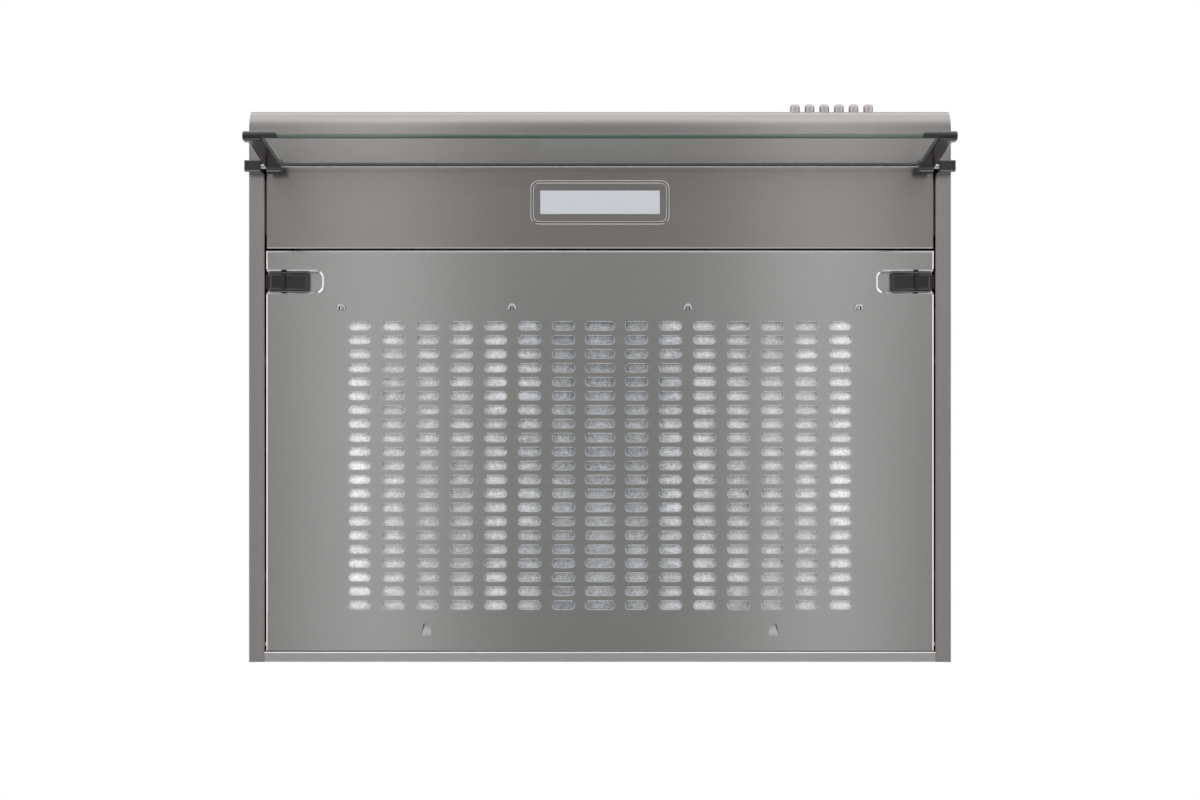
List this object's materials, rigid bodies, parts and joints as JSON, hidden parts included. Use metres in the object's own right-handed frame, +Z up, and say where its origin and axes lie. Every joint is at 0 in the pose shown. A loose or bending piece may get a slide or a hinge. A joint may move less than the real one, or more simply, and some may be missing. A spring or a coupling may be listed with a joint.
{
  "type": "range hood",
  "caption": "Flat under-cabinet range hood: stainless housing, slotted hinged grille, lamp, row of push buttons and a hanging clear glass visor on pivoting arms.",
  "frame": {"origin": "centre of the four cabinet screws, on the upper face of the top plate", "axes": "+X to the right seen from the front, +Y towards the wall, +Z up"},
  "size_m": [0.6, 0.4815, 0.2694],
  "materials": {
    "stainless": "satin brushed stainless sheet",
    "zinc_steel": "galvanised sheet",
    "spring_steel": "bright drawn wire",
    "pin_steel": "turned steel",
    "black_plastic": "satin black moulding",
    "button_metal": "satin metallised cap",
    "visor_glass": "clear float glass",
    "lens": "frosted light cover",
    "fleece": "white polyester fleece",
    "grey_plastic": "moulded",
    "circuit_board": "white solder mask",
    "led": "phosphor",
    "motor_steel": "black enamel"
  },
  "bodies": {
    "hood": {"top_plate": "zinc_steel", "rear_panel": "stainless", "front_fascia": "stainless", "side_panel_left": "stainless", "side_panel_right": "stainless", "lamp_panel": "stainless", "lamp_bezel": "stainless", "lamp_lens": "lens", "lamp_tray": "zinc_steel", "led_board": "circuit_board", "led_chips": "led", "switch_block": "black_plastic", "switch_bracket": "zinc_steel", "blower_scroll": "zinc_steel", "motor_body": "motor_steel", "motor_bracket": "zinc_steel", "capacitor": "black_plastic", "junction_box": "grey_plastic", "junction_box_lid": "grey_plastic", "cable_gland": "black_plastic", "duct_collar": "black_plastic", "flap_spindle": "pin_steel", "visor_bracket_left": "black_plastic", "visor_bracket_right": "black_plastic"},
    "visor": {"visor_glass": "visor_glass", "visor_arm_left": "black_plastic", "visor_arm_right": "black_plastic", "visor_clip_left": "black_plastic", "visor_clip_right": "black_plastic", "visor_pin_left": "pin_steel", "visor_pin_right": "pin_steel"},
    "grille": {"grille_panel": "stainless", "filter_fleece": "fleece", "filter_wire_left": "spring_steel", "filter_wire_right": "spring_steel", "grille_pin_left": "pin_steel", "grille_pin_right": "pin_steel"},
    "latch_left": {"latch_left": "black_plastic", "latch_keeper_left": "black_plastic"},
    "latch_right": {"latch_right": "black_plastic", "latch_keeper_right": "black_plastic"},
    "blower_wheel": {"impeller": "grey_plastic", "motor_shaft": "pin_steel"},
    "flap_front": {"flap_front": "black_plastic"},
    "flap_rear": {"flap_rear": "black_plastic"},
    "button_1": {"button_1": "button_metal"},
    "button_2": {"button_2": "button_metal"},
    "button_3": {"button_3": "button_metal"},
    "button_4": {"button_4": "button_metal"},
    "button_5": {"button_5": "button_metal"},
    "button_6": {"button_6": "button_metal"}
  },
  "joints": [
    {"name": "visor_hinge", "type": "hinge", "parent": "hood", "child": "visor", "pos_m": [0, -0.2614, -0.144], "axis": [-1, 0, 0], "range_deg": [-10, 65]},
    {"name": "grille_hinge", "type": "hinge", "parent": "hood", "child": "grille", "pos_m": [0, 0.145, -0.126], "axis": [1, 0, 0], "range_deg": [0, 85]},
    {"name": "latch_left_slide", "type": "slide", "parent": "grille", "child": "latch_left", "axis": [1, 0, 0], "range_m": [0, 0.008], "stiffness_N_per_m": 250, "springref_m": -0.002},
    {"name": "latch_right_slide", "type": "slide", "parent": "grille", "child": "latch_right", "axis": [-1, 0, 0], "range_m": [0, 0.008], "stiffness_N_per_m": 250, "springref_m": -0.002},
    {"name": "blower_spin", "type": "hinge", "parent": "hood", "child": "blower_wheel", "pos_m": [0, 0.027, -0.056], "axis": [1, 0, 0], "continuous": true},
    {"name": "flap_front_hinge", "type": "hinge", "parent": "hood", "child": "flap_front", "pos_m": [0, 0, 0.01], "axis": [-1, 0, 0], "range_deg": [0, 75]},
    {"name": "flap_rear_hinge", "type": "hinge", "parent": "hood", "child": "flap_rear", "pos_m": [0, 0, 0.01], "axis": [1, 0, 0], "range_deg": [0, 75]},
    {"name": "button_1_press", "type": "slide", "parent": "hood", "child": "button_1", "axis": [0, 1, 0], "range_m": [0, 0.004], "stiffness_N_per_m": 400, "springref_m": -0.001},
    {"name": "button_2_press", "type": "slide", "parent": "hood", "child": "button_2", "axis": [0, 1, 0], "range_m": [0, 0.004], "stiffness_N_per_m": 400, "springref_m": -0.001},
    {"name": "button_3_press", "type": "slide", "parent": "hood", "child": "button_3", "axis": [0, 1, 0], "range_m": [0, 0.004], "stiffness_N_per_m": 400, "springref_m": -0.001},
    {"name": "button_4_press", "type": "slide", "parent": "hood", "child": "button_4", "axis": [0, 1, 0], "range_m": [0, 0.004], "stiffness_N_per_m": 400, "springref_m": -0.001},
    {"name": "button_5_press", "type": "slide", "parent": "hood", "child": "button_5", "axis": [0, 1, 0], "range_m": [0, 0.004], "stiffness_N_per_m": 400, "springref_m": -0.001},
    {"name": "button_6_press", "type": "slide", "parent": "hood", "child": "button_6", "axis": [0, 1, 0], "range_m": [0, 0.004], "stiffness_N_per_m": 400, "springref_m": -0.001}
  ]
}
